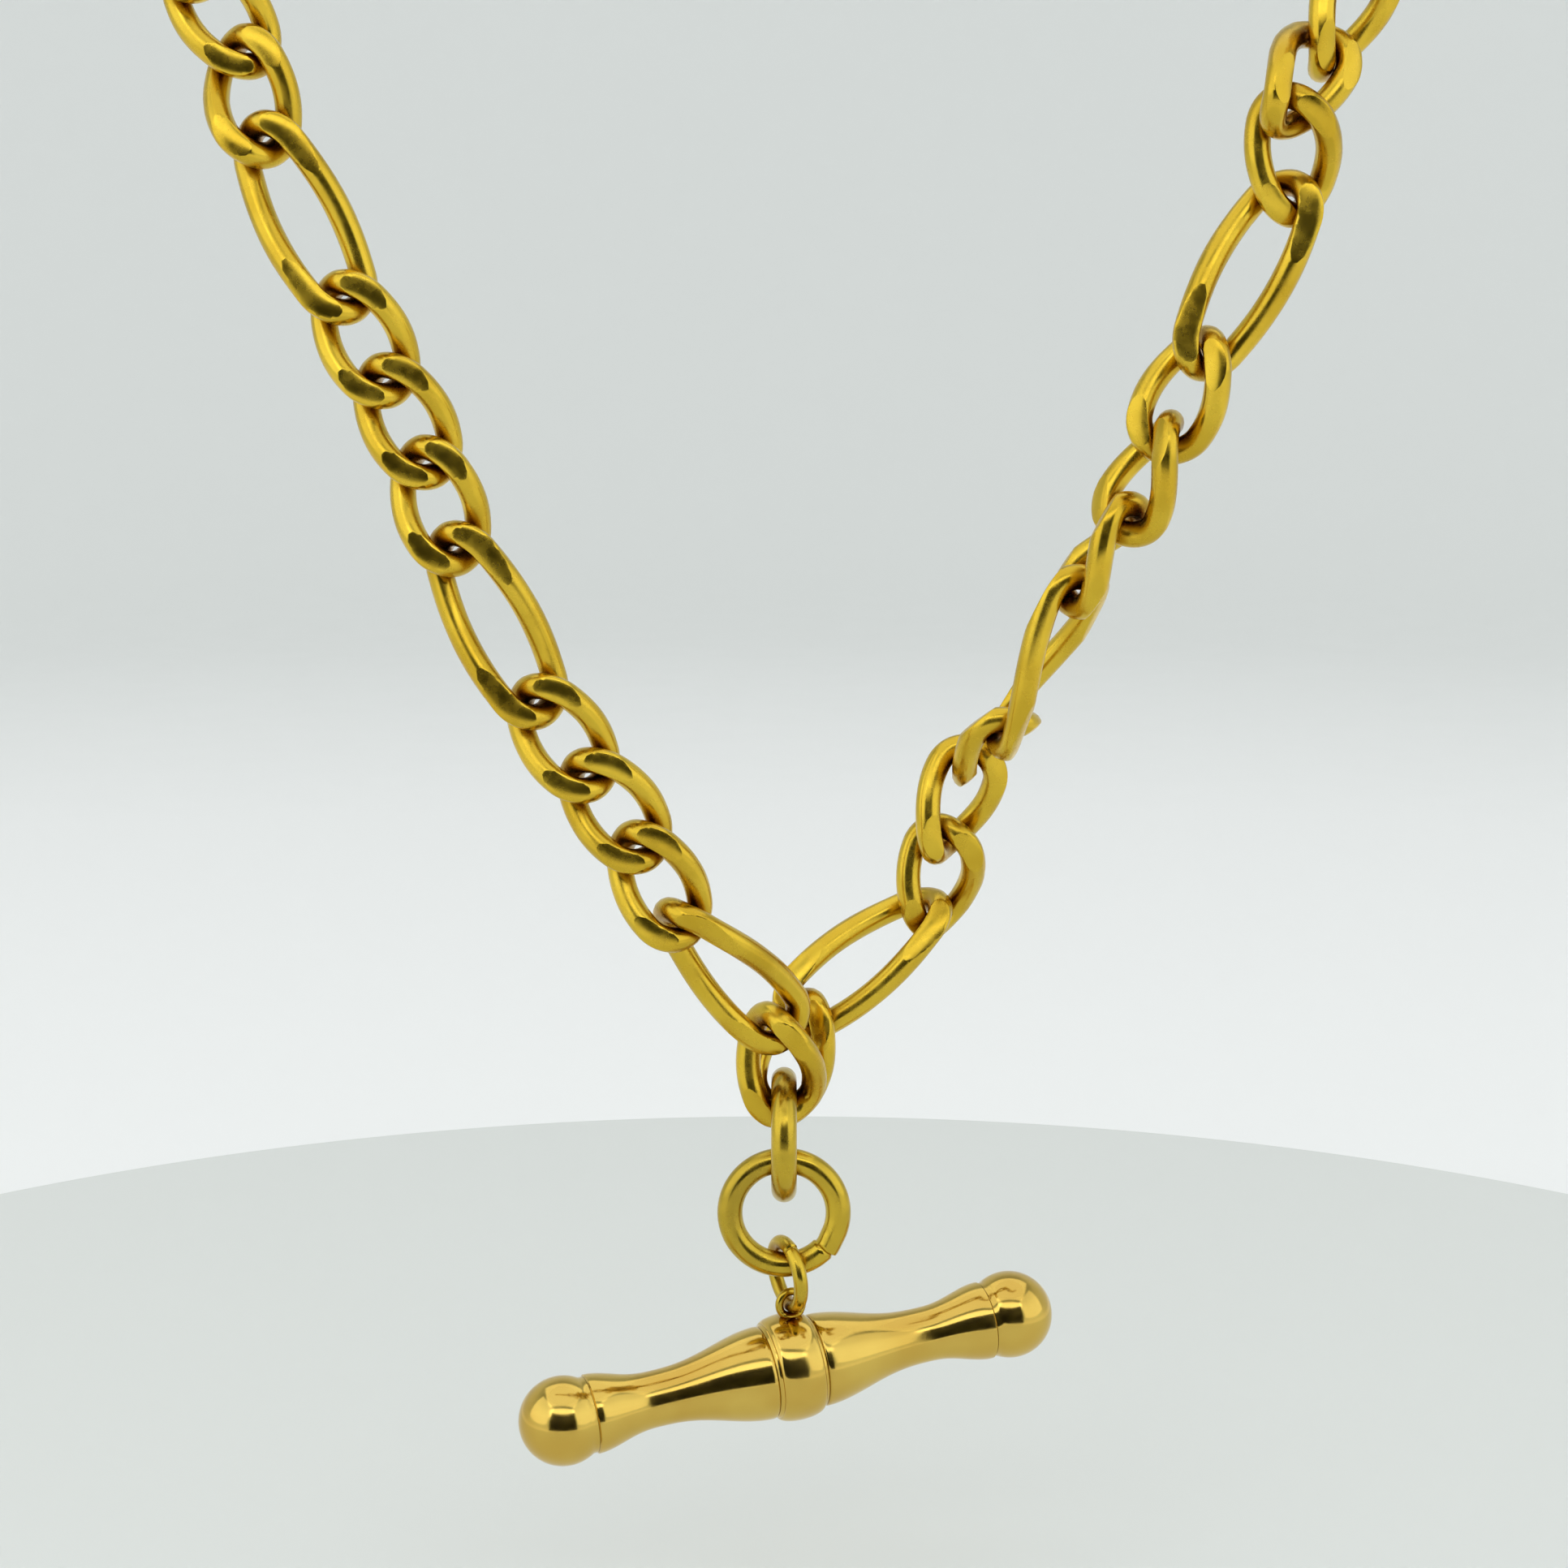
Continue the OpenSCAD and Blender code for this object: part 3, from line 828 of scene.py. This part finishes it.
def makeStudio():
    top, thick = studioSet["tableTop"] * mm, studioSet["tableThick"] * mm
    clearHands()
    bpy.ops.mesh.primitive_cylinder_add(vertices=256, radius=studioSet["tableRadius"] * mm, depth=thick,
                                        location=(0, studioSet["tableY"] * mm, top - thick / 2))
    table = bpy.context.active_object
    table.name = "turntable"
    edge = table.modifiers.new("edge", "BEVEL")
    edge.width = 1.2 * mm
    edge.segments = 4
    bpy.ops.object.modifier_apply(modifier="edge")
    bpy.ops.object.shade_smooth_by_angle(angle=math.radians(35.0))
    table.data.materials.append(paleMaterial("tableWhite", studioSet["tableTone"], studioSet["tableTone"]))
    clearHands()
    radius, floor = studioSet["bowlRadius"] * mm, studioSet["floor"] * mm
    stations = [(0.001, floor), (radius * 0.6, floor)]
    for k in range(1, 25):
        turn = math.radians(90.0 * k / 24)
        stations.append((radius * 0.6 + radius * 0.4 * math.sin(turn),
                         floor + radius * 0.4 * (1 - math.cos(turn))))
    stations.append((radius, studioSet["bowlHeight"] * mm))
    stations = [(z + 0.0001 * n, r) for n, (r, z) in enumerate(stations)]
    wall = turnOnLathe("bowl", stations, 128, capped=False)
    settle(wall, Matrix.Rotation(math.radians(-90.0), 4, "Y"))
    wall.data.flip_normals()
    wall.data.materials.append(paleMaterial("bowlGrey", studioSet["floorTone"], studioSet["wallTone"]))


def makeLight(name, place, target, size, power, colour=(1, 1, 1)):
    data = bpy.data.lights.new(name, "AREA")
    data.shape = "RECTANGLE"
    data.size, data.size_y = size
    data.energy = power
    data.color = colour
    light = bpy.data.objects.new(name, data)
    bpy.context.scene.collection.objects.link(light)
    light.location = place
    light.rotation_euler = (Vector(target) - Vector(place)).to_track_quat("-Z", "Y").to_euler()
    light.visible_camera = False
    return light


def roomMaterial(name, low, high, scale):
    # blotches of a dim room, which give the gold its broken dark reflections
    recipe = Recipe(name)
    place = recipe.node("ShaderNodeTexCoord", out=3)
    blotches = recipe.noise(place, scale, 1.5)
    recipe.set(Base_Color=recipe.ramp(blotches, [(0.38, low), (0.62, high)]), Roughness=1.0)
    return recipe.material


def makeFrontScreen(values, material):
    # the dim open front of the light tent: part of a ball around the piece, seen only in the gold
    clearHands()
    bpy.ops.mesh.primitive_uv_sphere_add(segments=96, ring_count=48, radius=values["radius"])
    screen = bpy.context.active_object
    screen.name = "frontScreen"
    bpy.ops.object.mode_set(mode="EDIT")

    def outside(point):
        p = point.co
        side = math.degrees(math.atan2(p.x, -p.y))
        height = math.degrees(math.asin(max(-1.0, min(1.0, p.z / values["radius"]))))
        return not (values["left"] < side < values["right"] and values["low"] < height < values["high"])

    pick(screen, outside)
    bpy.ops.mesh.delete(type="VERT")
    bpy.ops.object.mode_set(mode="OBJECT")
    screen.data.materials.append(material)
    screen.visible_camera = False
    screen.visible_shadow = False
    screen.visible_diffuse = False


makeStudio()
screenSet = {"radius": 0.30, "left": -34.0, "right": 38.0, "low": -34.0, "high": 34.0,
             "dark": (0.001, 0.001, 0.001, 1.0), "dim": (0.022, 0.022, 0.010, 1.0), "blotch": 7.0}
makeFrontScreen(screenSet, roomMaterial("dimRoom", screenSet["dark"], screenSet["dim"], screenSet["blotch"]))
makeLight("topLight", (0.0, 0.05, 0.75), (0, 0, 0), (1.1, 1.1), 3.2, (1.0, 0.99, 0.97))
makeLight("leftLight", (-0.60, -0.25, 0.30), (0, 0, 0.02), (0.8, 0.8), 1.5, (0.97, 0.98, 1.0))
makeLight("rightLight", (0.60, -0.20, 0.25), (0, 0, 0.02), (0.8, 0.8), 1.3, (0.97, 0.98, 1.0))
makeLight("frontLight", (0.0, -0.45, 0.34), (0, 0, 0.0), (0.7, 0.26), 0.8, (1.0, 1.0, 1.0))

scene = bpy.context.scene
scene.view_settings.view_transform = "Standard"
world = bpy.data.worlds.new("softRoom")
scene.world = world
world.use_nodes = True
sky = world.node_tree.nodes["Background"]
sky.inputs[0].default_value = (0.86, 0.90, 0.93, 1.0)
sky.inputs[1].default_value = 0.30
print("studio made")
